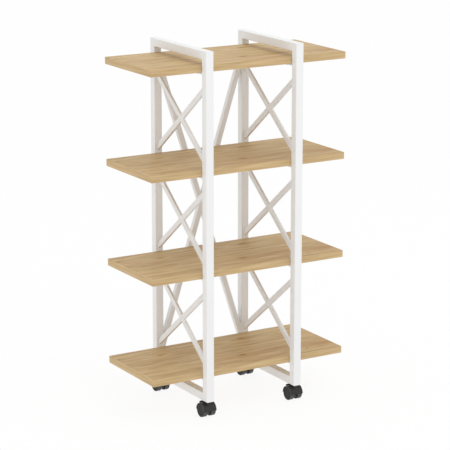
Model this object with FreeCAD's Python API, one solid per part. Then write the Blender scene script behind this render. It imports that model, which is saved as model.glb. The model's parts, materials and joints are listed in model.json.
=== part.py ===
import FreeCAD, Part
import math
import os

# Rolling shelving unit. Two welded side frames of square tube hold the boards between
# their uprights, a large crossed brace stiffens the back, and a hooded twin-wheel caster
# stands under each upright. The front pair of casters has a brake pedal.
# Millimetres. The origin is on the floor, in the middle of the frame's plan.
# +Z is up, the front is towards -Y and the left side towards -X.

# Side frames of square tube
frame_width = 400.0
frame_depth = 400.0
frame_height = 1270.0
tube = 30.0
tube_wall = 1.5
tube_corner = 1.8

# Shelf boards with a plastic band round the edge
shelf_count = 4
shelf_width = 800.0
shelf_thickness = 25.0
shelf_gap = 1.0
band_thickness = 1.0
top_shelf_drop = 21.0
lowest_rail_rise = 44.0

# Support rail under each end of a board, and the wood screws up through it
rail_width = 15.0
rail_height = 10.0
rail_wall = 1.2
rail_corner = 1.6
wood_screw_diameter = 4.2
wood_screw_tip_diameter = 1.0
wood_screw_tip_length = 4.2
wood_screw_head_diameter = 8.4
wood_screw_head_top_diameter = 6.0
wood_screw_head_height = 2.8
wood_screw_drive_length = 4.2
wood_screw_drive_width = 1.0
wood_screw_drive_depth = 1.4
wood_screw_setback = 55.0
wood_over_screw = 9.0

# Crossed bars of a side frame, between one board and the next
brace_height = 20.0
brace_thickness = 10.0
brace_wall = 1.2
brace_corner = 1.6
brace_lower_margin = 10.5
brace_upper_margin = 34.0

# Crossed brace at the back, its end plates and their screws
back_bar = 20.0
back_bar_wall = 1.5
back_bar_corner = 2.0
back_top_drop = 33.0
back_bottom_drop = 26.0
end_plate_thickness = 3.0
end_plate_tab = 22.0
plate_screw_diameter = 6.0
plate_screw_head_diameter = 10.5
plate_screw_head_height = 3.3
plate_screw_hex = 4.0
plate_screw_hex_depth = 2.0
plate_screw_length = 12.0
plate_nut_diameter = 9.0
plate_nut_collar_diameter = 12.0
plate_nut_length = 14.0

# Casters
wheel_diameter = 50.0
wheel_gap = 14.0
wheel_bore_end_wall = 4.0
wheel_rim = 4.5
wheel_rim_radius = 2.0
wheel_recess_depth = 8.25
wheel_hub_diameter = 16.0
wheel_face_rim = 5.0
wheel_face_dish = 1.2
caster_width = 54.0
caster_trail = 15.0
hood_clearance = 0.7
hood_wall = 1.5
hood_edge_radius = 0.8
hood_headroom = 7.8
hood_skirt = 1.0
hood_side_overlap = 1.1
web_side_gap = 0.5
web_floor_gap = 5.0
axle_diameter = 6.0
axle_end_gap = 0.3
neck_diameter = 16.0
stem_diameter = 8.0
stem_thread_length = 15.0
stem_flange_flats = 17.0
stem_flange_thickness = 3.0
stem_flange_gap = 0.2
stem_pin_length = 24.0
stem_tip = 2.0
clip_thickness = 1.0
clip_width = 2.0
clip_groove_depth = 0.8
clip_axial_play = 0.1
clip_mouth = 3.2
clip_window_play = 0.3
clip_window_floor = 2.0
clip_window_back = 1.0
stem_nut_diameter = 11.0
stem_nut_collar_diameter = 14.0
stem_nut_length = 17.0
nut_collar_thickness = 2.5

# Brake pedal of a front caster
lever_thickness = 6.0
lever_side_gap = 0.3
lever_arm = 5.0
lever_hub_diameter = 8.0
lever_pivot_diameter = 4.0
lever_pivot_behind_axle = 6.0
lever_press_angle = 12.0
lever_room = 0.8
brake_bar_diameter = 5.0
brake_bar_ahead_of_axle = 4.5
brake_bar_gap = 2.6
brake_bar_end_gap = 2.0
pedal_width = 35.5
pedal_length = 12.6
pedal_rise = 2.3
pedal_gap = 0.8
pedal_behind_pivot = 1.0
pedal_lip = 0.9

# Radial clearance of every pin and screw in its hole
fit_clearance = 0.05
# How far a cutting body runs past the face that it cuts
overrun = 5.0

# Levels, from the floor up
wheel_radius = wheel_diameter / 2
hood_inner_radius = wheel_radius + hood_clearance
hood_outer_radius = hood_inner_radius + hood_wall
caster_height = wheel_radius + hood_outer_radius + hood_headroom
frame_bottom = caster_height
frame_top = frame_bottom + frame_height
lowest_shelf_top = frame_bottom + tube + lowest_rail_rise + rail_height + shelf_thickness
top_shelf_top = frame_top - tube - top_shelf_drop
shelf_pitch = (top_shelf_top - lowest_shelf_top) / (shelf_count - 1)
shelf_tops = [lowest_shelf_top + shelf_pitch * i for i in range(shelf_count)]

# Plan of the frame
inner_half_width = frame_width / 2 - tube
inner_half_depth = frame_depth / 2 - tube
tube_centre_x = frame_width / 2 - tube / 2
tube_centre_y = frame_depth / 2 - tube / 2
shelf_depth = 2 * (inner_half_depth - shelf_gap)

SIDES = {"left": -1, "right": 1}
ENDS = {"front": -1, "rear": 1}

X_AXIS = FreeCAD.Vector(1, 0, 0)
Y_AXIS = FreeCAD.Vector(0, 1, 0)
Z_AXIS = FreeCAD.Vector(0, 0, 1)


def vector(x, y, z):
    return FreeCAD.Vector(x, y, z)


def box(low, high):
    size = high - low
    return Part.makeBox(size.x, size.y, size.z, low)


def cylinder(diameter, start, direction, length):
    return Part.makeCylinder(diameter / 2, length, start, direction)


def fuse(shapes):
    whole = shapes[0].multiFuse(shapes[1:])
    return whole.removeSplitter()


def prism(points, travel):
    """Solid made by moving a closed polygon along a vector."""
    outline = Part.makePolygon(points + [points[0]])
    return Part.Face(outline).extrude(travel)


def side_prism(points, low_x, high_x):
    """Solid between two X values whose outline is a list of (y, z) points."""
    return prism([vector(low_x, y, z) for y, z in points], vector(high_x - low_x, 0, 0))


def hexagon_prism(flats, start, length):
    """Upright hexagonal prism, measured across its flats."""
    reach = flats / math.sqrt(3)
    corners = []
    for i in range(6):
        angle = math.radians(60 * i)
        corners.append(start + vector(reach * math.cos(angle), reach * math.sin(angle), 0))
    return prism(corners, vector(0, 0, length))


def rounded_rectangle(width, height, corner):
    """Closed wire in the XY plane, centred on the origin."""
    w = width / 2
    h = height / 2
    rest = corner * (1 - math.sqrt(0.5))
    edges = []
    for sx, sy in ((1, 1), (-1, 1), (-1, -1), (1, -1)):
        along_x = vector(sx * (w - corner), sy * h, 0)
        along_y = vector(sx * w, sy * (h - corner), 0)
        middle = vector(sx * (w - rest), sy * (h - rest), 0)
        ends = (along_y, along_x) if sx == sy else (along_x, along_y)
        edges.append(Part.Arc(ends[0], middle, ends[1]).toShape())
    ring = []
    for i, arc in enumerate(edges):
        ring.append(arc)
        following = edges[(i + 1) % len(edges)]
        ring.append(Part.LineSegment(arc.Vertexes[-1].Point, following.Vertexes[0].Point).toShape())
    return Part.Wire(ring)


def tube_solid(width, height, wall, corner, length):
    """Rectangular tube along +Z from the origin, with its section centred on the Z axis."""
    inner_corner = max(corner - wall, wall / 10)
    outer = Part.Face(rounded_rectangle(width, height, corner))
    inner = Part.Face(rounded_rectangle(width - 2 * wall, height - 2 * wall, inner_corner))
    return outer.cut(inner).extrude(vector(0, 0, length))


def place(shape, origin, x_direction, z_direction):
    """Copy of a shape moved so that its X and Z axes point along the given directions."""
    y_direction = z_direction.cross(x_direction)
    matrix = FreeCAD.Matrix(
        x_direction.x, y_direction.x, z_direction.x, origin.x,
        x_direction.y, y_direction.y, z_direction.y, origin.y,
        x_direction.z, y_direction.z, z_direction.z, origin.z,
        0, 0, 0, 1)
    moved = shape.copy()
    moved.Placement = FreeCAD.Placement(matrix)
    return moved


def brace_angle(span, height, bar):
    """Slope of a bar whose ends, cut flush with the posts, fill a height over a span."""
    return math.acos(bar / math.hypot(span, height)) - math.atan2(span, height)


def revolve_round_x(points):
    """Solid turned about the X axis from a closed outline of (x, radius) points."""
    outline = Part.makePolygon([vector(x, 0, r) for x, r in points + [points[0]]])
    return Part.Face(outline).revolve(vector(0, 0, 0), X_AXIS, 360)


def round_outer_edges(solid, radius, fillet):
    """Rounds the circular edges of a turned solid that lie at a given radius from the X axis."""
    edges = [edge for edge in solid.Edges if is_circle_of(edge, radius)]
    return solid.makeFillet(fillet, edges)


def is_circle_of(edge, radius):
    return isinstance(edge.Curve, Part.Circle) and abs(edge.Curve.Radius - radius) < fit_clearance


# Side frames

def frame_tube(side, outline, start, direction, length):
    """Square tube of one side frame, mitred by its outline in the plane of the frame."""
    whole = place(tube_solid(tube, tube, tube_wall, tube_corner, length), start, X_AXIS, direction)
    centre = side * tube_centre_x
    return whole.common(side_prism(outline, centre - tube, centre + tube))


def upright(side, end):
    outer = end * frame_depth / 2
    inner = end * inner_half_depth
    outline = [(outer, frame_bottom), (outer, frame_top),
               (inner, frame_top - tube), (inner, frame_bottom + tube)]
    start = vector(side * tube_centre_x, end * tube_centre_y, frame_bottom)
    post = frame_tube(side, outline, start, Z_AXIS, frame_height)
    if end == ENDS["rear"]:
        for height in plate_screw_heights():
            mouth = vector(side * (inner_half_width - overrun), end * tube_centre_y, height)
            diameter = plate_nut_diameter + 2 * fit_clearance
            post = post.cut(cylinder(diameter, mouth, X_AXIS * side, tube_wall + 2 * overrun))
    return post


def cross_rail(side, outer_level, inner_level):
    """Top or bottom rail between the uprights of one side frame."""
    half = frame_depth / 2
    outline = [(-half, outer_level), (half, outer_level),
               (inner_half_depth, inner_level), (-inner_half_depth, inner_level)]
    start = vector(side * tube_centre_x, -half, (outer_level + inner_level) / 2)
    return frame_tube(side, outline, start, Y_AXIS, frame_depth)


def top_rail(side):
    return cross_rail(side, frame_top, frame_top - tube)


def bottom_rail(side):
    rail = cross_rail(side, frame_bottom, frame_bottom + tube)
    for end in ENDS.values():
        mouth = stem_point(side, end, frame_bottom - overrun)
        diameter = stem_nut_diameter + 2 * fit_clearance
        rail = rail.cut(cylinder(diameter, mouth, Z_AXIS, tube_wall + 2 * overrun))
    return rail


def screw_points(side, shelf_top):
    """Where the wood screws of one support rail stand, at the underside of the rail."""
    level = shelf_top - shelf_thickness - rail_height
    reach = inner_half_depth - wood_screw_setback
    return [vector(side * tube_centre_x, end * reach, level) for end in ENDS.values()]


def support_rails(side):
    rails = []
    for shelf_top in shelf_tops:
        level = shelf_top - shelf_thickness - rail_height / 2
        start = vector(side * tube_centre_x, -inner_half_depth, level)
        section = tube_solid(rail_width, rail_height, rail_wall, rail_corner, 2 * inner_half_depth)
        rail = place(section, start, X_AXIS, Y_AXIS)
        for point in screw_points(side, shelf_top):
            diameter = wood_screw_diameter + 2 * fit_clearance
            mouth = point - Z_AXIS * overrun
            rail = rail.cut(cylinder(diameter, mouth, Z_AXIS, rail_height + 2 * overrun))
        rails.append(rail)
    return Part.makeCompound(rails)


def crossed_bars(centre, across, half_span, height, section):
    """One whole bar and the two halves that butt against it, trimmed to the posts at each end.

    across is the level direction from post to post, height the space that the ends fill, and
    section the bar's depth in the plane of the cross, its thickness, its wall and its corner."""
    depth, thickness, wall, corner = section
    angle = brace_angle(2 * half_span, height, depth)
    reach = half_span / math.cos(angle) + depth * math.tan(angle) + overrun
    bars = []
    for lean in (1, -1):
        direction = across * math.cos(angle) + Z_AXIS * (lean * math.sin(angle))
        upward = Z_AXIS * math.cos(angle) - across * (lean * math.sin(angle))
        start = centre - direction * reach
        bars.append(place(tube_solid(depth, thickness, wall, corner, 2 * reach), start, upward, direction))
        if lean == 1:
            filled = box(vector(-depth / 2, -thickness, 0), vector(depth / 2, thickness, 2 * reach))
            whole_bar_space = place(filled, start, upward, direction)
    room_reach = vector(half_span, half_span, reach)
    room = box(centre - room_reach, centre + room_reach)
    halves = bars[1].common(room).cut(whole_bar_space)
    return bars[0].common(room), Part.makeCompound(halves.Solids)


def side_brace(side, bay):
    """Crossed bars of one side frame above the board with the given number."""
    floor = shelf_tops[bay] + brace_lower_margin
    ceiling = shelf_tops[bay + 1] - shelf_thickness - rail_height - brace_upper_margin
    centre = vector(side * tube_centre_x, 0, (floor + ceiling) / 2)
    section = (brace_height, brace_thickness, brace_wall, brace_corner)
    return crossed_bars(centre, Y_AXIS, inner_half_depth, ceiling - floor, section)


# Back brace

def back_brace_levels():
    return shelf_tops[0] - back_bottom_drop, shelf_tops[-1] - back_top_drop


def back_brace():
    floor, ceiling = back_brace_levels()
    centre = vector(0, tube_centre_y, (floor + ceiling) / 2)
    section = (back_bar, back_bar, back_bar_wall, back_bar_corner)
    return crossed_bars(centre, X_AXIS, inner_half_width - end_plate_thickness, ceiling - floor, section)


def plate_screw_heights():
    floor, ceiling = back_brace_levels()
    return [floor - end_plate_tab / 2, ceiling + end_plate_tab / 2]


def back_end_foot():
    """Height of a bar's slanting end where it meets its plate."""
    floor, ceiling = back_brace_levels()
    angle = brace_angle(2 * (inner_half_width - end_plate_thickness), ceiling - floor, back_bar)
    return back_bar / math.cos(angle)


def back_end_plates():
    floor, ceiling = back_brace_levels()
    foot = back_end_foot()
    spans = [(floor - end_plate_tab, floor + foot), (ceiling - foot, ceiling + end_plate_tab)]
    plates = []
    for side in SIDES.values():
        faces = sorted((side * inner_half_width, side * (inner_half_width - end_plate_thickness)))
        for span, height in zip(spans, plate_screw_heights()):
            low = vector(faces[0], tube_centre_y - back_bar / 2, span[0])
            high = vector(faces[1], tube_centre_y + back_bar / 2, span[1])
            mouth = vector(faces[0] - overrun, tube_centre_y, height)
            hole_length = end_plate_thickness + 2 * overrun
            hole = cylinder(plate_screw_diameter + 2 * fit_clearance, mouth, X_AXIS, hole_length)
            plates.append(box(low, high).cut(hole))
    return Part.makeCompound(plates)


def plate_screw(side, height):
    """Button-head screw with a hexagon socket, driven outwards into the upright."""
    seat = vector(side * (inner_half_width - end_plate_thickness), tube_centre_y, height)
    outwards = X_AXIS * side
    head_radius = plate_screw_head_diameter / 2
    dome = (head_radius ** 2 + plate_screw_head_height ** 2) / (2 * plate_screw_head_height)
    ball = Part.makeSphere(dome, seat + outwards * (dome - plate_screw_head_height))
    head = ball.common(cylinder(2 * dome, seat, outwards * -1, plate_screw_head_height))
    socket = hexagon_prism(plate_screw_hex, vector(0, 0, 0), plate_screw_hex_depth + overrun)
    bottom = seat - outwards * (plate_screw_head_height - plate_screw_hex_depth)
    head = head.cut(place(socket, bottom, Y_AXIS, outwards * -1))
    return fuse([head, cylinder(plate_screw_diameter, seat, outwards, plate_screw_length)])


def back_screws():
    screws = []
    for side in SIDES.values():
        screws += [plate_screw(side, height) for height in plate_screw_heights()]
    return Part.makeCompound(screws)


def rivet_nut(point, inwards, diameter, collar, length, bore):
    """Threaded sleeve pressed through a tube's wall, with its collar against the inside."""
    sleeve = cylinder(diameter, point, inwards, length)
    flange = cylinder(collar, point + inwards * tube_wall, inwards, nut_collar_thickness)
    hole = cylinder(bore + 2 * fit_clearance, point - inwards * overrun, inwards, length + 2 * overrun)
    return fuse([sleeve, flange]).cut(hole)


def back_nuts():
    nuts = []
    for side in SIDES.values():
        for height in plate_screw_heights():
            point = vector(side * inner_half_width, tube_centre_y, height)
            nuts.append(rivet_nut(point, X_AXIS * side, plate_nut_diameter, plate_nut_collar_diameter,
                                  plate_nut_length, plate_screw_diameter))
    return Part.makeCompound(nuts)


# Shelves

def shelf_board(shelf_top):
    half_width = shelf_width / 2 - band_thickness
    half_depth = shelf_depth / 2 - band_thickness
    low = vector(-half_width, -half_depth, shelf_top - shelf_thickness)
    board = box(low, vector(half_width, half_depth, shelf_top))
    depth = shelf_thickness - wood_over_screw + fit_clearance
    diameter = wood_screw_diameter + 2 * fit_clearance
    for side in SIDES.values():
        for point in screw_points(side, shelf_top):
            mouth = point + Z_AXIS * (rail_height - overrun)
            board = board.cut(cylinder(diameter, mouth, Z_AXIS, depth + overrun))
    return board


def shelf_bands(shelf_top):
    low_z = shelf_top - shelf_thickness
    outer_x = shelf_width / 2
    outer_y = shelf_depth / 2
    inner_x = outer_x - band_thickness
    inner_y = outer_y - band_thickness
    bands = [
        box(vector(-outer_x, -outer_y, low_z), vector(outer_x, -inner_y, shelf_top)),
        box(vector(-outer_x, inner_y, low_z), vector(outer_x, outer_y, shelf_top)),
        box(vector(-outer_x, -inner_y, low_z), vector(-inner_x, inner_y, shelf_top)),
        box(vector(inner_x, -inner_y, low_z), vector(outer_x, inner_y, shelf_top))]
    return Part.makeCompound(bands)


def wood_screw(point):
    """Pan-head screw up through the support rail, with its head under the rail."""
    shank_length = rail_height + shelf_thickness - wood_over_screw - wood_screw_tip_length
    shank = cylinder(wood_screw_diameter, point, Z_AXIS, shank_length)
    tip = Part.makeCone(wood_screw_diameter / 2, wood_screw_tip_diameter / 2, wood_screw_tip_length,
                        point + Z_AXIS * shank_length, Z_AXIS)
    head_top = point - Z_AXIS * wood_screw_head_height
    head = Part.makeCone(wood_screw_head_top_diameter / 2, wood_screw_head_diameter / 2,
                         wood_screw_head_height, head_top, Z_AXIS)
    long_reach = wood_screw_drive_length / 2
    short_reach = wood_screw_drive_width / 2
    for reach_x, reach_y in ((long_reach, short_reach), (short_reach, long_reach)):
        low = head_top - vector(reach_x, reach_y, wood_screw_drive_depth)
        head = head.cut(box(low, head_top + vector(reach_x, reach_y, wood_screw_drive_depth)))
    return fuse([head, shank, tip])


def shelf_screws():
    screws = []
    for shelf_top in shelf_tops:
        for side in SIDES.values():
            screws += [wood_screw(point) for point in screw_points(side, shelf_top)]
    return Part.makeCompound(screws)


# Casters. Each is modelled round its own axle as a front one and then moved to its upright.
# At rest all the wheels lie inwards of the stems, so a rear caster faces the other way.

axle_height = wheel_radius
web_half = wheel_gap / 2 - web_side_gap
wheel_outer = caster_width / 2 - hood_side_overlap
wheel_rim_inner_radius = wheel_radius - wheel_rim
axle_half = wheel_outer - wheel_face_dish - wheel_bore_end_wall - axle_end_gap
neck_top = caster_height - axle_height - stem_flange_thickness - stem_flange_gap
pin_bottom = caster_height - axle_height - stem_flange_thickness - stem_pin_length
groove_diameter = stem_diameter - 2 * clip_groove_depth
clip_diameter = groove_diameter + 2 * fit_clearance + 2 * clip_width


def stem_point(side, end, z):
    return vector(side * tube_centre_x, end * tube_centre_y, z)


def axle_point(side, end):
    return stem_point(side, end, axle_height) - Y_AXIS * end * caster_trail


def at_caster(shape, side, end):
    """Copy of a shape that is drawn round the axle, faced and moved to one caster."""
    faced = shape.copy() if end == ENDS["front"] else shape.mirror(vector(0, 0, 0), Y_AXIS)
    faced.translate(axle_point(side, end))
    return faced


def caster_stem(side, end):
    """Threaded stem with a hexagon flange and a plain pin that the hood turns on."""
    top = stem_point(side, end, frame_bottom)
    thread = cylinder(stem_diameter, top, Z_AXIS, stem_thread_length)
    flange_base = top - Z_AXIS * stem_flange_thickness
    flange = hexagon_prism(stem_flange_flats, flange_base, stem_flange_thickness)
    pin_base = flange_base - Z_AXIS * stem_pin_length
    stem = fuse([thread, flange, cylinder(stem_diameter, pin_base, Z_AXIS, stem_pin_length)])
    groove_base = pin_base + Z_AXIS * stem_tip
    groove_height = clip_thickness + 2 * clip_axial_play
    collar = cylinder(2 * stem_diameter, groove_base, Z_AXIS, groove_height)
    return stem.cut(collar.cut(cylinder(groove_diameter, groove_base, Z_AXIS, groove_height)))


def stem_clip(side, end):
    """Open ring snapped into the groove of the pin, with its mouth outwards."""
    level = axle_height + pin_bottom + stem_tip + clip_axial_play
    base = stem_point(side, end, level)
    ring = cylinder(clip_diameter, base, Z_AXIS, clip_thickness)
    ring = ring.cut(cylinder(groove_diameter + 2 * fit_clearance, base, Z_AXIS, clip_thickness))
    near_y, far_y = sorted((0, end * clip_diameter))
    low = base + vector(-clip_mouth / 2, near_y, 0)
    return ring.cut(box(low, base + vector(clip_mouth / 2, far_y, clip_thickness)))


def stem_nut(side, end):
    return rivet_nut(stem_point(side, end, frame_bottom), Z_AXIS, stem_nut_diameter,
                     stem_nut_collar_diameter, stem_nut_length, stem_diameter)


def group_of_casters(make):
    return Part.makeCompound([make(side, end) for end in ENDS.values() for side in SIDES.values()])


def axle():
    return cylinder(axle_diameter, vector(-axle_half, 0, 0), X_AXIS, 2 * axle_half)


def wheel(side):
    """Wheel with a rounded tread, a dished outer face and a hollow inner face round its hub."""
    inner = wheel_gap / 2
    bore = axle_diameter / 2 + fit_clearance
    dish = wheel_outer - wheel_face_dish
    rim_inner = wheel_radius - wheel_face_rim
    outline = [
        (inner, bore),
        (inner, wheel_hub_diameter / 2),
        (inner + wheel_recess_depth, wheel_hub_diameter / 2),
        (inner + wheel_recess_depth, wheel_rim_inner_radius),
        (inner, wheel_rim_inner_radius),
        (inner, wheel_radius),
        (wheel_outer, wheel_radius),
        (wheel_outer, rim_inner),
        (dish, rim_inner - wheel_face_dish),
        (dish, 0),
        (dish - wheel_bore_end_wall, 0),
        (dish - wheel_bore_end_wall, bore)]
    turned = revolve_round_x([(side * x, r) for x, r in outline])
    return round_outer_edges(turned, wheel_radius, wheel_rim_radius)


def full_cylinder(radius, half_width):
    return cylinder(2 * radius, vector(-half_width, 0, 0), X_AXIS, 2 * half_width)


def hood_blank():
    """Half-round cover over both wheels, with the web down between them and the neck for the stem."""
    half = caster_width / 2
    ring = revolve_round_x([(-half, hood_inner_radius), (-half, hood_outer_radius),
                            (half, hood_outer_radius), (half, hood_inner_radius)])
    shell = round_outer_edges(ring, hood_outer_radius, hood_edge_radius)
    middle_radius = (hood_inner_radius + hood_outer_radius) / 2
    web = full_cylinder(middle_radius, web_half)
    reach = 2 * hood_outer_radius
    upper = box(vector(-reach, -reach, -hood_skirt), vector(reach, reach, reach))
    neck_base = vector(0, -caster_trail, 0)
    neck = cylinder(neck_diameter, neck_base, Z_AXIS, neck_top).cut(full_cylinder(hood_inner_radius, reach))
    lower_web = full_cylinder(wheel_radius - web_floor_gap, web_half)
    return fuse([shell.common(upper), web.common(upper), neck, lower_web])


def hood():
    """Cover with the bores for the axle and the stem, and the window where the clip sits."""
    body = hood_blank()
    body = body.cut(full_cylinder(axle_diameter / 2 + fit_clearance, caster_width))
    window_top = pin_bottom + stem_tip + clip_thickness + clip_axial_play + clip_window_play
    window_bottom = pin_bottom - clip_window_floor
    window_back = -caster_trail + clip_diameter / 2 + clip_window_back
    window = box(vector(-caster_width, -2 * hood_outer_radius, window_bottom),
                 vector(caster_width, window_back, window_top))
    body = body.cut(window.common(full_cylinder(hood_inner_radius, caster_width)))
    bore_length = neck_top - window_bottom
    bore_base = vector(0, -caster_trail, window_bottom)
    return body.cut(cylinder(stem_diameter + 2 * fit_clearance, bore_base, Z_AXIS, bore_length + overrun))


# Brake pedal, drawn in the middle plane of the caster as (y, z) points round the axle

brake_bar_radius_from_axle = wheel_rim_inner_radius - brake_bar_gap - brake_bar_diameter / 2
brake_bar_z = math.sqrt(brake_bar_radius_from_axle ** 2 - brake_bar_ahead_of_axle ** 2)
lever_pivot_y = lever_pivot_behind_axle
lever_pivot_z = brake_bar_z
pedal_front = lever_pivot_y + pedal_behind_pivot
pedal_back = pedal_front + pedal_length
pedal_top = hood_outer_radius + pedal_rise
pedal_arm_top = ((pedal_front + pedal_back) / 2, hood_outer_radius)


def swung(point, degrees):
    """Where a (y, z) point goes when it turns round the pivot of the lever."""
    angle = math.radians(degrees)
    y = point[0] - lever_pivot_y
    z = point[1] - lever_pivot_z
    return (lever_pivot_y + y * math.cos(angle) - z * math.sin(angle),
            lever_pivot_z + y * math.sin(angle) + z * math.cos(angle))


def pressed(point):
    """Where a (y, z) point of the lever goes when the pedal is pressed right down."""
    return swung(point, -lever_press_angle)


def beside(start, end, distance):
    """Both ends of a line drawn to the left of the line from start to end."""
    length = math.hypot(end[0] - start[0], end[1] - start[1])
    offset = (-(end[1] - start[1]) / length * distance, (end[0] - start[0]) / length * distance)
    return [(p[0] + offset[0], p[1] + offset[1]) for p in (start, end)]


def arm_outline(end):
    pivot = (lever_pivot_y, lever_pivot_z)
    left = beside(pivot, end, lever_arm / 2)
    right = beside(pivot, end, -lever_arm / 2)
    return left + right[::-1]


def sweep_outline(end):
    """Room for an arm over its whole travel, with the clearance on both sides."""
    pivot = (lever_pivot_y, lever_pivot_z)
    room = lever_arm / 2 + lever_room
    first = beside(pivot, end, room)
    last = beside(pivot, pressed(end), -room)
    return first + last[::-1]


def stretched(start, end, extra):
    """A point further out on the line from start through end."""
    length = math.hypot(end[0] - start[0], end[1] - start[1])
    share = (length + extra) / length
    return (start[0] + (end[0] - start[0]) * share, start[1] + (end[1] - start[1]) * share)


def brake_bar_point():
    return (-brake_bar_ahead_of_axle, brake_bar_z)


def pedal():
    """Wedge over the back of the hood, which keeps its gap from the hood when pressed right down."""
    outline = [(pedal_front, 0), (pedal_back, 0), (pedal_back, pedal_top - pedal_lip),
               (pedal_back - pedal_lip, pedal_top), (pedal_front + pedal_lip, pedal_top),
               (pedal_front, pedal_top - pedal_lip)]
    wedge = side_prism(outline, -pedal_width / 2, pedal_width / 2)
    room_diameter = 2 * (hood_outer_radius + pedal_gap)
    for hood_centre in ((0, 0), swung((0, 0), lever_press_angle)):
        start = vector(-pedal_width, *hood_centre)
        wedge = wedge.cut(cylinder(room_diameter, start, X_AXIS, 2 * pedal_width))
    return wedge


def brake_lever():
    half = lever_thickness / 2
    bar_half = wheel_gap / 2 + wheel_recess_depth - brake_bar_end_gap
    pivot_half = web_half - fit_clearance
    pivot = vector(0, lever_pivot_y, lever_pivot_z)
    bar = vector(0, *brake_bar_point())
    pieces = [
        cylinder(lever_hub_diameter, pivot - X_AXIS * half, X_AXIS, lever_thickness),
        cylinder(lever_pivot_diameter, pivot - X_AXIS * pivot_half, X_AXIS, 2 * pivot_half),
        cylinder(brake_bar_diameter, bar - X_AXIS * bar_half, X_AXIS, 2 * bar_half),
        side_prism(arm_outline(brake_bar_point()), -half, half),
        side_prism(arm_outline(pedal_arm_top), -half, half),
        pedal()]
    return fuse(pieces)


def braked_hood():
    """Cover with the slot that the brake lever swings in and the holes for its pivots."""
    pivot_point = (lever_pivot_y, lever_pivot_z)
    half = lever_thickness / 2 + lever_side_gap
    bar_reach = brake_bar_diameter / 2 + lever_room
    pivot = vector(-caster_width, lever_pivot_y, lever_pivot_z)
    bar_end = stretched(pivot_point, brake_bar_point(), bar_reach)
    pedal_end = stretched(pivot_point, pedal_arm_top, hood_wall + overrun)
    bar_y, bar_low = brake_bar_point()
    bar_high = pressed(brake_bar_point())[1]
    hub_room = cylinder(lever_hub_diameter + 2 * lever_room, vector(-half, *pivot_point), X_AXIS, 2 * half)
    cuts = [
        hub_room,
        side_prism(sweep_outline(bar_end), -half, half),
        side_prism(sweep_outline(pedal_end), -half, half),
        box(vector(-web_half - overrun, bar_y - bar_reach, bar_low - bar_reach),
            vector(web_half + overrun, bar_y + bar_reach, bar_high + bar_reach)),
        cylinder(lever_pivot_diameter + 2 * fit_clearance, pivot, X_AXIS, 2 * caster_width)]
    body = hood()
    for cut in cuts:
        body = body.cut(cut)
    return body


# Every node by name

def all_nodes():
    nodes = {}
    for side_name, side in SIDES.items():
        for end_name, end in ENDS.items():
            nodes[f"{side_name}_{end_name}_upright"] = upright(side, end)
        nodes[f"{side_name}_top_rail"] = top_rail(side)
        nodes[f"{side_name}_bottom_rail"] = bottom_rail(side)
        nodes[f"{side_name}_shelf_rails"] = support_rails(side)
        for bay in range(shelf_count - 1):
            whole, halves = side_brace(side, bay)
            nodes[f"{side_name}_brace_{bay + 1}_long_bar"] = whole
            nodes[f"{side_name}_brace_{bay + 1}_short_bars"] = halves
    nodes["back_brace_long_bar"], nodes["back_brace_short_bars"] = back_brace()
    nodes["back_brace_end_plates"] = back_end_plates()
    nodes["back_brace_screws"] = back_screws()
    nodes["back_brace_rivet_nuts"] = back_nuts()
    for number, shelf_top in enumerate(shelf_tops, start=1):
        nodes[f"shelf_{number}_board"] = shelf_board(shelf_top)
        nodes[f"shelf_{number}_edge_bands"] = shelf_bands(shelf_top)
    nodes["shelf_screws"] = shelf_screws()
    nodes["caster_rivet_nuts"] = group_of_casters(stem_nut)
    nodes["caster_stems"] = group_of_casters(caster_stem)
    nodes["caster_stem_clips"] = group_of_casters(stem_clip)
    for end_name, end in ENDS.items():
        braked = end_name == "front"
        for side_name, side in SIDES.items():
            name = f"{end_name}_{side_name}_caster"
            nodes[f"{name}_hood"] = at_caster(braked_hood() if braked else hood(), side, end)
            nodes[f"{name}_axle"] = at_caster(axle(), side, end)
            for wheel_name, wheel_side in SIDES.items():
                nodes[f"{name}_{wheel_name}_wheel"] = at_caster(wheel(wheel_side), side, end)
            if braked:
                nodes[f"{name}_brake_pedal"] = at_caster(brake_lever(), side, end)
    return nodes


def main():
    os.makedirs("parts", exist_ok=True)
    for name, shape in all_nodes().items():
        valid = "ok" if shape.isValid() else "NOT VALID"
        print(name, len(shape.Solids), round(shape.Volume, 1), valid)
        shape.exportStep(f"parts/{name}.step")


main()
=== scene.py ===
import json
import math
from collections import namedtuple

import bpy
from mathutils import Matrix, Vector


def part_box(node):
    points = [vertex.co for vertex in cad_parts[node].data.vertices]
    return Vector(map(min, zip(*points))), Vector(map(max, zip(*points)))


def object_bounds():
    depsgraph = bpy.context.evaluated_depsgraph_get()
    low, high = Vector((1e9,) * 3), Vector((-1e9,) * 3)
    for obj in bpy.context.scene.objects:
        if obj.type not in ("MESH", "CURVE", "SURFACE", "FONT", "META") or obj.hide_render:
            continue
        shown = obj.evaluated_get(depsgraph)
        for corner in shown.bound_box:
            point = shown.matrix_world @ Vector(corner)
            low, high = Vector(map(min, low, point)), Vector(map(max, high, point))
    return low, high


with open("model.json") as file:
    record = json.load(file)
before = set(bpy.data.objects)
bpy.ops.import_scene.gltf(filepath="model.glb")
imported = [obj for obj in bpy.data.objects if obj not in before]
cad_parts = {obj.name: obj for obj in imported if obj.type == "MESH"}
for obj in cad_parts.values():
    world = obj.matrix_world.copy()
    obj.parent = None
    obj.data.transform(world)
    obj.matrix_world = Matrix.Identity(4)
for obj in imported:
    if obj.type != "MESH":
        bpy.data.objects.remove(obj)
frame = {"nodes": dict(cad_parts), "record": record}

cad_low, cad_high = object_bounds()

# Picture, which is square, and the width of the camera's sensor
IMAGE_PIXELS = 450
SENSOR_MM = 36.0

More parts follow.
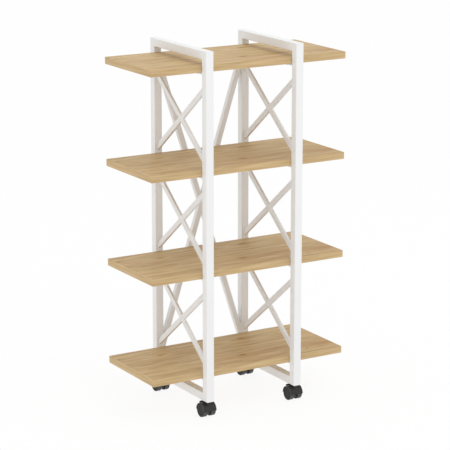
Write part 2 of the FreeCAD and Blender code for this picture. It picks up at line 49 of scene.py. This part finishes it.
# Camera, in metres and degrees: where it stands, which way it looks, how far it sees and how it frames
CAMERA_PLACE = Vector((-3.6498, -6.1005, 2.4111))
CAMERA_YAW = 30.902
CAMERA_PITCH = 13.915
CAMERA_REACH = 100.0
CAMERA_FOCAL_PIXELS = 2006.8
CAMERA_SHIFT_X = -0.0035

# Light: white surroundings, the white that the camera sees behind the object, and two soft lamps
SKY_LEVEL = 0.943
BACKDROP_WHITE = 1.0
WHITE = (1.0, 1.0, 1.0)
KEY_PLACE = Vector((0.3, -3.1, 4.7))
KEY_SIZE = 3.0
KEY_POWER = 42.0
FILL_PLACE = Vector((-4.4, -1.0, 0.6))
FILL_SIZE = 1.0
FILL_POWER = 9.4

# Floor
FLOOR_HALF = 30.0
FLOOR_COLOUR = (0.96, 0.96, 0.96)
FLOOR_SHADOW_SHARE = 0.10

# Finishes, as linear colours
PAINT = (0.838, 0.840, 0.838)
OAK_PALE = (0.762, 0.585, 0.305)
OAK_LIGHT = (0.708, 0.531, 0.279)
OAK_MIDDLE = (0.553, 0.388, 0.189)
OAK_DARK = (0.345, 0.201, 0.072)
OAK_RED = (0.43, 0.235, 0.082)
OAK_KNOT = (0.215, 0.098, 0.020)
BAND_LIGHT = (0.625, 0.449, 0.237)
BAND_DARK = (0.480, 0.330, 0.157)
BLACK_HOOD = (0.034, 0.034, 0.0335)
# Paler grey on the hood's rims: a painted highlight along their edges
RIM_PAINTED_HIGHLIGHT = (0.100, 0.100, 0.099)
BLACK_PEDAL = (0.022, 0.022, 0.0215)
BLACK_WHEEL = (0.024, 0.024, 0.0235)
# Paler grey on a wheel's tread: partly the tread's own plastic, partly a painted highlight on its rounded
# edge
TREAD_GREY_AND_EDGE_HIGHLIGHT = (0.072, 0.072, 0.072)
ZINC = (0.62, 0.63, 0.65)
BLACK_PLATING = (0.040, 0.040, 0.041)

# Clouding of the finishes: scale and detail of the noise, and how bright the clouds are beside the colour
PAINT_CLOUDS = (9.0, 3.0)
PLASTIC_CLOUDS = (120.0, 3.0)
PLATING_CLOUDS = (200.0, 3.0)
PAINT_CLOUD_LEVEL = 0.985
PLASTIC_CLOUD_LEVEL = 1.25
PLATING_CLOUD_LEVEL = 0.85

# Roughness of the finishes, from their glossiest to their dullest places, and how far they mirror light
PAINT_ROUGHNESS = (0.36, 0.46)
OAK_ROUGHNESS = (0.50, 0.60)
BAND_ROUGHNESS = 0.55
PLASTIC_ROUGHNESS = (0.44, 0.54)
PLATING_ROUGHNESS = (0.28, 0.42)
PAINT_UNEVENNESS_SCALE = 60.0
OAK_GLOSS = 0.35
PLASTIC_GLOSS = 0.14
PEDAL_GLOSS = 0.02

# Surface textures: scale of the noise, and strength and height of the bump
PAINT_PEEL_SCALE = 500.0
PAINT_PEEL_BUMP = (0.03, 0.0002)
PLASTIC_TEXTURE_SCALE = 2600.0
PLASTIC_BUMP = (0.12, 0.0002)
OAK_BUMP = (0.12, 0.0004)
OAK_PORE_DEPTH = 0.6
BAND_BUMP = (0.08, 0.0003)

# Ranges of a noise's values: the wide one leaves out only its rare extremes
WIDE_RANGE = (0.3, 0.7)
NARROW_RANGE = (0.35, 0.65)
FLAME_RANGE = (0.25, 0.65)

# Casters, in metres: how far the stems stand from the middle plane, and where the painted highlight on
# a hood's rims starts and has its full colour, measured from the stem
STEM_X = 0.185
HOOD_HIGHLIGHT_START = 0.0262
HOOD_HIGHLIGHT_FULL = 0.0266
# How squarely a wheel's surface looks along the axle where its tread ends and where its face begins
TREAD_FACING = 0.60
FACE_FACING = 0.80

# Marks of the oak pattern, the same on each board: place, half length and half width in metres, and
# depth of colour
Mark = namedtuple("Mark", "x y half_length half_width depth")
KNOTS = [
    Mark(-0.236, 0.075, 0.018, 0.0055, 0.65),
    Mark(0.127, 0.103, 0.018, 0.0080, 1.00),
    Mark(0.085, 0.100, 0.014, 0.0080, 0.40),
    Mark(0.026, -0.072, 0.016, 0.0095, 0.80),
    Mark(0.276, -0.124, 0.007, 0.0050, 0.65),
    Mark(-0.392, 0.108, 0.013, 0.0050, 0.60),
]
STAINS = [
    Mark(0.201, -0.066, 0.100, 0.013, 0.75),
    Mark(0.365, -0.090, 0.095, 0.026, 1.05),
    Mark(-0.340, -0.125, 0.130, 0.006, 0.25),
    Mark(0.040, -0.070, 0.130, 0.012, 0.55),
    Mark(0.080, -0.128, 0.120, 0.008, 0.70),
    Mark(0.150, 0.100, 0.060, 0.010, 0.35),
    Mark(-0.100, 0.045, 0.060, 0.010, 0.30),
    Mark(-0.165, 0.075, 0.040, 0.013, 0.60),
    Mark(0.118, 0.050, 0.028, 0.014, 0.45),
    Mark(-0.360, -0.026, 0.080, 0.012, 0.35),
    Mark(-0.150, 0.032, 0.050, 0.014, 0.45),
    Mark(-0.240, -0.086, 0.090, 0.007, 0.45),
    Mark(-0.310, 0.032, 0.100, 0.007, 0.45),
    Mark(-0.350, 0.085, 0.060, 0.008, 0.45),
    Mark(0.000, 0.008, 0.050, 0.008, 0.35),
    Mark(0.220, -0.043, 0.045, 0.008, 0.30),
    Mark(-0.050, -0.080, 0.070, 0.012, 0.25),
]
PALE_STREAKS = [
    Mark(-0.290, 0.070, 0.120, 0.005, 0.60),
    Mark(0.175, 0.078, 0.070, 0.010, 0.65),
    Mark(0.070, 0.092, 0.040, 0.009, 0.60),
    Mark(-0.320, -0.064, 0.120, 0.010, 0.50),
    Mark(0.330, -0.146, 0.100, 0.010, 0.70),
    Mark(0.190, 0.129, 0.170, 0.009, 0.60),
    Mark(0.090, -0.010, 0.100, 0.008, 0.45),
    Mark(0.038, 0.066, 0.028, 0.012, 0.50),
    Mark(0.195, 0.055, 0.035, 0.010, 0.50),
    Mark(0.175, -0.145, 0.040, 0.008, 0.45),
    Mark(-0.310, -0.107, 0.095, 0.012, 0.60),
    Mark(-0.300, -0.155, 0.070, 0.008, 0.40),
    Mark(0.330, -0.008, 0.110, 0.007, 0.45),
    Mark(0.310, 0.040, 0.080, 0.010, 0.35),
    Mark(-0.330, 0.130, 0.100, 0.012, 0.50),
]
# The most of the pattern that a mark covers
STREAK_COVER = 0.85
STAIN_COVER = 0.85
KNOT_COVER = 0.95
# How strongly a knot pushes the grain aside, and over how many times its own size
KNOT_PUSH = 0.75
KNOT_REACH = 3.0
# How the flames of the grain break up the depth of the marks, from the least to the most
STAIN_BREAKS = (0.5, 1.2)
KNOT_BREAKS = (0.7, 1.2)

# Sway of the grain across the board: squeeze, slice and scale of the noise, and the sway in metres
Sway = namedtuple("Sway", "squeeze slice scale reach")
SWAYS = [Sway(2.5, 0.0, 2.2, 0.018), Sway(3.0, 2.0, 9.0, 0.005)]

# Layers of the grain, from broad bands to pores, each a noise that is drawn out along the board
Layer = namedtuple("Layer", "stretch slice scale detail roughness")
BROAD = Layer(0.08, 0.0, 24.0, 2.0, 0.5)
STREAK = Layer(0.08, 3.0, 62.0, 3.0, 0.6)
FLAME = Layer(0.05, 5.0, 170.0, 3.0, 0.6)
FIBRE = Layer(0.025, 7.0, 520.0, 2.0, 0.5)
PORES = Layer(0.03, 11.0, 1500.0, 1.0, 0.5)
BAND_LINES = Layer(0.05, 0.0, 110.0, 3.0, 0.5)
BAND_PATCHES = Layer(0.20, 5.0, 40.0, 2.0, 0.5)

# Tints by the layers: the range of a layer's noise, and the share of the tint at its two ends
BROAD_TINT = (0.30, 0.66, 0.0, 1.0)
STREAK_TINT = (0.46, 0.74, 0.0, 0.95)
BETWEEN_STREAKS_TINT = (0.26, 0.42, 0.55, 0.0)
FLAME_TINT = (0.45, 0.75, 0.0, 0.60)
FIBRE_TINT = (0.35, 0.75, 0.0, 0.28)
PORE_TINT = (0.60, 0.75, 0.0, 0.35)
BAND_LINE_TINT = (0.38, 0.66, 0.0, 1.0)
BAND_PATCH_TINT = (0.40, 0.75, 0.0, 0.5)


class Graph:
    """Short-hand for the node tree of one material."""

    # Sockets of a mix node that are used for colours
    MIX_FACTOR, MIX_FIRST, MIX_SECOND, MIX_RESULT = 0, 6, 7, 2

    def __init__(self, name):
        self.material = bpy.data.materials.new(name)
        self.material.use_nodes = True
        self.tree = self.material.node_tree
        self.tree.nodes.clear()
        self.shader = self.tree.nodes.new("ShaderNodeBsdfPrincipled")
        output = self.tree.nodes.new("ShaderNodeOutputMaterial")
        self.link(self.shader.outputs["BSDF"], output.inputs["Surface"])

    def link(self, source, target):
        self.tree.links.new(source, target)

    def feed(self, socket, value):
        """Links a socket to another node's output, or sets it to a plain value."""
        if isinstance(value, bpy.types.NodeSocket):
            self.link(value, socket)
        else:
            socket.default_value = value

    def set(self, name, value):
        self.feed(self.shader.inputs[name], value)

    def object_position(self):
        return self.tree.nodes.new("ShaderNodeTexCoord").outputs["Object"]

    def object_normal(self):
        return self.tree.nodes.new("ShaderNodeTexCoord").outputs["Normal"]

    def split(self, vector):
        node = self.tree.nodes.new("ShaderNodeSeparateXYZ")
        self.link(vector, node.inputs[0])
        return node.outputs["X"], node.outputs["Y"], node.outputs["Z"]

    def join(self, x, y, z):
        node = self.tree.nodes.new("ShaderNodeCombineXYZ")
        for socket, value in zip(node.inputs, (x, y, z)):
            self.feed(socket, value)
        return node.outputs[0]

    def math(self, operation, *values):
        node = self.tree.nodes.new("ShaderNodeMath")
        node.operation = operation
        for socket, value in zip(node.inputs, values):
            self.feed(socket, value)
        return node.outputs[0]

    def noise(self, vector, scale, detail=2.0, roughness=0.5):
        node = self.tree.nodes.new("ShaderNodeTexNoise")
        self.link(vector, node.inputs["Vector"])
        node.inputs["Scale"].default_value = scale
        node.inputs["Detail"].default_value = detail
        node.inputs["Roughness"].default_value = roughness
        return node.outputs["Fac"]

    def grain(self, layer, along, across):
        """Noise of one layer of a grain, drawn out along it."""
        place = self.join(self.math("MULTIPLY", along, layer.stretch), across, layer.slice)
        return self.noise(place, layer.scale, layer.detail, layer.roughness)

    def spread(self, value, low, high, to_low=0.0, to_high=1.0):
        """Maps a range of values to another one, and holds it at both ends."""
        node = self.tree.nodes.new("ShaderNodeMapRange")
        node.inputs["From Min"].default_value = low
        node.inputs["From Max"].default_value = high
        node.inputs["To Min"].default_value = to_low
        node.inputs["To Max"].default_value = to_high
        self.link(value, node.inputs["Value"])
        return node.outputs["Result"]

    def mix(self, factor, first, second):
        node = self.tree.nodes.new("ShaderNodeMix")
        node.data_type = "RGBA"
        self.feed(node.inputs[self.MIX_FACTOR], factor)
        for slot, value in ((self.MIX_FIRST, first), (self.MIX_SECOND, second)):
            colour = value if isinstance(value, bpy.types.NodeSocket) else opaque(value)
            self.feed(node.inputs[slot], colour)
        return node.outputs[self.MIX_RESULT]

    def bump(self, height, strength, distance):
        node = self.tree.nodes.new("ShaderNodeBump")
        node.inputs["Strength"].default_value = strength
        node.inputs["Distance"].default_value = distance
        self.link(height, node.inputs["Height"])
        self.set("Normal", node.outputs["Normal"])


def opaque(colour):
    return (*colour, 1.0)


def scaled(colour, share):
    return tuple(part * share for part in colour)


def powder_coat():
    """Satin white paint with a faint orange peel and a slightly uneven gloss."""
    graph = Graph("white_powder_coat")
    place = graph.object_position()
    cloud = graph.noise(place, *PAINT_CLOUDS)
    gloss = graph.noise(place, PAINT_UNEVENNESS_SCALE)
    peel = graph.noise(place, PAINT_PEEL_SCALE)
    tone = graph.mix(graph.spread(cloud, *NARROW_RANGE), PAINT, scaled(PAINT, PAINT_CLOUD_LEVEL))
    graph.set("Base Color", tone)
    graph.set("Roughness", graph.spread(gloss, *WIDE_RANGE, *PAINT_ROUGHNESS))
    graph.bump(peel, *PAINT_PEEL_BUMP)
    return graph.material


def spot(graph, x, y, mark, reach=1.0):
    """1 in the middle of a mark, falling off smoothly over its half length and half width."""
    along = graph.math("DIVIDE", graph.math("SUBTRACT", x, mark.x), mark.half_length * reach)
    across = graph.math("DIVIDE", graph.math("SUBTRACT", y, mark.y), mark.half_width * reach)
    distance = graph.math("MULTIPLY_ADD", along, along, graph.math("MULTIPLY", across, across))
    return graph.math("EXPONENT", graph.math("MULTIPLY", distance, -1.0))


def knot_bend(graph, x, y):
    """How far the grain is pushed aside by the knots."""
    bend = 0.0
    for mark in KNOTS:
        across = graph.math("SUBTRACT", y, mark.y)
        push = graph.math("MULTIPLY", spot(graph, x, y, mark, KNOT_REACH), -KNOT_PUSH)
        bend = graph.math("MULTIPLY_ADD", push, across, bend)
    return bend


def sway_grain(graph, x, y):
    """The place across the grain, which bends round the knots and sways along the board."""
    across = graph.math("ADD", y, knot_bend(graph, x, y))
    for sway in SWAYS:
        place = graph.join(x, graph.math("MULTIPLY", y, sway.squeeze), sway.slice)
        shift = graph.spread(graph.noise(place, sway.scale), 0.0, 1.0, -sway.reach, sway.reach)
        across = graph.math("ADD", across, shift)
    return across


def mark_cover(graph, x, y, marks, breaks, most):
    """How much of the pattern the marks cover at each point, broken up by the grain."""
    depth = 0.0
    for mark in marks:
        depth = graph.math("MULTIPLY_ADD", spot(graph, x, y, mark), mark.depth, depth)
    return graph.math("MINIMUM", graph.math("MULTIPLY", depth, breaks), most)


def oak_board():
    """Oak pattern with the grain along the board, bent round a few knots."""
    graph = Graph("oak_board")
    x, y, _ = graph.split(graph.object_position())
    across = sway_grain(graph, x, y)
    layers = (BROAD, STREAK, FLAME, FIBRE, PORES)
    broad, streak, flame, fibre, pores = [graph.grain(layer, x, across) for layer in layers]
    stain_breaks = graph.spread(flame, *FLAME_RANGE, *STAIN_BREAKS)
    knot_breaks = graph.spread(flame, *FLAME_RANGE, *KNOT_BREAKS)
    pale = mark_cover(graph, x, across, PALE_STREAKS, stain_breaks, STREAK_COVER)
    stains = mark_cover(graph, x, across, STAINS, stain_breaks, STAIN_COVER)
    knots = mark_cover(graph, x, y, KNOTS, knot_breaks, KNOT_COVER)

    tone = graph.mix(graph.spread(broad, *BROAD_TINT), OAK_LIGHT, OAK_MIDDLE)
    tone = graph.mix(graph.spread(streak, *STREAK_TINT), tone, OAK_DARK)
    tone = graph.mix(graph.spread(streak, *BETWEEN_STREAKS_TINT), tone, OAK_LIGHT)
    tone = graph.mix(pale, tone, OAK_PALE)
    tone = graph.mix(graph.spread(flame, *FLAME_TINT), tone, OAK_DARK)
    tone = graph.mix(graph.spread(fibre, *FIBRE_TINT), tone, OAK_DARK)
    tone = graph.mix(graph.spread(pores, *PORE_TINT), tone, OAK_DARK)
    tone = graph.mix(stains, tone, OAK_RED)
    tone = graph.mix(knots, tone, OAK_KNOT)

    graph.set("Base Color", tone)
    graph.set("Roughness", graph.spread(streak, *WIDE_RANGE, *OAK_ROUGHNESS))
    graph.set("Specular IOR Level", OAK_GLOSS)
    pore_depth = graph.math("MULTIPLY", pores, OAK_PORE_DEPTH)
    graph.bump(graph.math("ADD", fibre, pore_depth), *OAK_BUMP)
    return graph.material


def oak_band():
    """Paler edge band with fine straight lines along its length, the same on each board."""
    graph = Graph("oak_edge_band")
    x, y, z = graph.split(graph.object_position())
    along = graph.math("ADD", x, y)
    board_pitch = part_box("shelf_2_board")[0].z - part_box("shelf_1_board")[0].z
    level = graph.math("MODULO", z, board_pitch)
    lines = graph.grain(BAND_LINES, along, level)
    patches = graph.grain(BAND_PATCHES, along, level)
    tone = graph.mix(graph.spread(lines, *BAND_LINE_TINT), BAND_LIGHT, BAND_DARK)
    tone = graph.mix(graph.spread(patches, *BAND_PATCH_TINT), tone, BAND_DARK)
    graph.set("Base Color", tone)
    graph.set("Roughness", BAND_ROUGHNESS)
    graph.set("Specular IOR Level", OAK_GLOSS)
    graph.bump(lines, *BAND_BUMP)
    return graph.material


def hood_rim_painted_highlight(graph):
    """Painted highlight on the two rims of a caster's hood: 1 on the rims, 0 between them."""
    x, _, _ = graph.split(graph.object_position())
    from_stem = graph.math("SUBTRACT", graph.math("ABSOLUTE", x), STEM_X)
    return graph.spread(graph.math("ABSOLUTE", from_stem), HOOD_HIGHLIGHT_START, HOOD_HIGHLIGHT_FULL)


def wheel_tread_and_edge_highlight(graph):
    """1 on a wheel's tread and its rounded edge, 0 on the faces that look along the axle: a paler tread
    plastic, whose grey on the rounded edge is also a painted highlight.
    """
    facing, _, _ = graph.split(graph.object_normal())
    return graph.spread(graph.math("ABSOLUTE", facing), TREAD_FACING, FACE_FACING, to_low=1.0, to_high=0.0)


def moulded_plastic(name, colour, second=None, zone=None, gloss=PLASTIC_GLOSS):
    """Matt black plastic with a fine spark-eroded texture, and a second colour in one zone, which on the
    hood is a painted highlight and on the wheels a paler tread that also paints a highlight on its rounded
    edge.
    """
    graph = Graph(name)
    place = graph.object_position()
    cloud = graph.noise(place, *PLASTIC_CLOUDS)
    texture = graph.noise(place, PLASTIC_TEXTURE_SCALE)
    tones = [colour, scaled(colour, PLASTIC_CLOUD_LEVEL)]
    if zone:
        share = zone(graph)
        seconds = [second, scaled(second, PLASTIC_CLOUD_LEVEL)]
        tones = [graph.mix(share, tone, other) for tone, other in zip(tones, seconds)]
    graph.set("Base Color", graph.mix(graph.spread(cloud, *WIDE_RANGE), *tones))
    graph.set("Roughness", graph.spread(cloud, *WIDE_RANGE, *PLASTIC_ROUGHNESS))
    graph.set("Specular IOR Level", gloss)
    graph.bump(texture, *PLASTIC_BUMP)
    return graph.material


def plated_steel(name, colour):
    """Metal plating with faint clouding."""
    graph = Graph(name)
    cloud = graph.noise(graph.object_position(), *PLATING_CLOUDS)
    tone = graph.mix(graph.spread(cloud, *WIDE_RANGE), colour, scaled(colour, PLATING_CLOUD_LEVEL))
    graph.set("Base Color", tone)
    graph.set("Metallic", 1.0)
    graph.set("Roughness", graph.spread(cloud, *WIDE_RANGE, *PLATING_ROUGHNESS))
    return graph.material


def dress_frame():
    """Gives every CAD node the finish of its material slot."""
    finishes = {
        "white_powder_coat": powder_coat(),
        "oak_board": oak_board(),
        "oak_edge_band": oak_band(),
        # The hood's rims get a paler grey, a painted highlight
        "black_hood": moulded_plastic("black_hood", BLACK_HOOD, RIM_PAINTED_HIGHLIGHT, hood_rim_painted_highlight),
        "black_pedal": moulded_plastic("black_pedal", BLACK_PEDAL, gloss=PEDAL_GLOSS),
        # A wheel's tread gets a paler grey, which on its rounded edge is also a painted highlight
        "black_wheel": moulded_plastic("black_wheel", BLACK_WHEEL, TREAD_GREY_AND_EDGE_HIGHLIGHT, wheel_tread_and_edge_highlight),
        "zinc_steel": plated_steel("zinc_steel", ZINC),
        "black_plated_steel": plated_steel("black_plated_steel", BLACK_PLATING),
    }
    for subpart in frame["record"]["subparts"]:
        mesh = frame["nodes"][subpart["node"]].data
        mesh.materials.clear()
        mesh.materials.append(finishes[subpart["material_slot"]])


def backdrop_rays(tree):
    """1 for rays that should see a plain white background: from the camera, a reflection or glass."""
    path = tree.nodes.new("ShaderNodeLightPath")
    seen = path.outputs["Is Camera Ray"]
    for name in ("Is Glossy Ray", "Is Transmission Ray"):
        either = tree.nodes.new("ShaderNodeMath")
        either.operation = "MAXIMUM"
        tree.links.new(seen, either.inputs[0])
        tree.links.new(path.outputs[name], either.inputs[1])
        seen = either.outputs[0]
    return seen


def build_world():
    """White surroundings that light the object, with a plain white background in front of the camera."""
    world = bpy.data.worlds.new("studio")
    bpy.context.scene.world = world
    world.use_nodes = True
    tree = world.node_tree
    tree.nodes.clear()
    output = tree.nodes.new("ShaderNodeOutputWorld")
    mix = tree.nodes.new("ShaderNodeMixShader")
    share, sky, backdrop = mix.inputs
    for socket, level in ((sky, SKY_LEVEL), (backdrop, BACKDROP_WHITE)):
        light = tree.nodes.new("ShaderNodeBackground")
        light.inputs["Color"].default_value = opaque(WHITE)
        light.inputs["Strength"].default_value = level
        tree.links.new(light.outputs[0], socket)
    tree.links.new(backdrop_rays(tree), share)
    tree.links.new(mix.outputs[0], output.inputs["Surface"])


def build_floor():
    """Wide floor like a thin white veil: the background shows through it, and it takes a faint shadow."""
    bpy.ops.mesh.primitive_plane_add(size=2 * FLOOR_HALF, location=(0.0, 0.0, cad_low.z))
    floor = bpy.context.object
    floor.name = "floor"
    material = bpy.data.materials.new("floor")
    material.use_nodes = True
    tree = material.node_tree
    tree.nodes.clear()
    output = tree.nodes.new("ShaderNodeOutputMaterial")
    matt = tree.nodes.new("ShaderNodeBsdfDiffuse")
    matt.inputs["Color"].default_value = opaque(FLOOR_COLOUR)
    clear = tree.nodes.new("ShaderNodeBsdfTransparent")
    mix = tree.nodes.new("ShaderNodeMixShader")
    share, first, second = mix.inputs
    share.default_value = FLOOR_SHADOW_SHARE
    tree.links.new(clear.outputs[0], first)
    tree.links.new(matt.outputs[0], second)
    tree.links.new(mix.outputs[0], output.inputs["Surface"])
    floor.data.materials.append(material)


def add_area_light(name, place, target, size, power):
    """Square lamp that looks at a target."""
    data = bpy.data.lights.new(name, "AREA")
    data.size = size
    data.energy = power
    lamp = bpy.data.objects.new(name, data)
    lamp.location = place
    lamp.rotation_euler = (target - place).to_track_quat("-Z", "Y").to_euler()
    bpy.context.scene.collection.objects.link(lamp)


def build_lights():
    """A large soft lamp above the front and a weaker one on the left, both aimed at the object."""
    middle = (cad_low + cad_high) / 2
    add_area_light("key", KEY_PLACE, middle, KEY_SIZE, KEY_POWER)
    add_area_light("fill", FILL_PLACE, middle, FILL_SIZE, FILL_POWER)


def build_camera():
    """Camera in front of the object, on its left and above it, tilted down."""
    data = bpy.data.cameras.new("camera")
    data.sensor_width = SENSOR_MM
    data.lens = CAMERA_FOCAL_PIXELS / IMAGE_PIXELS * SENSOR_MM
    data.shift_x = CAMERA_SHIFT_X
    data.clip_end = CAMERA_REACH
    camera = bpy.data.objects.new("camera", data)
    camera.location = CAMERA_PLACE
    camera.rotation_euler = (math.radians(90.0 - CAMERA_PITCH), 0.0, math.radians(-CAMERA_YAW))
    bpy.context.scene.collection.objects.link(camera)
    bpy.context.scene.camera = camera


bpy.context.scene.view_settings.view_transform = "Standard"
dress_frame()
build_world()
build_floor()
build_lights()
build_camera()
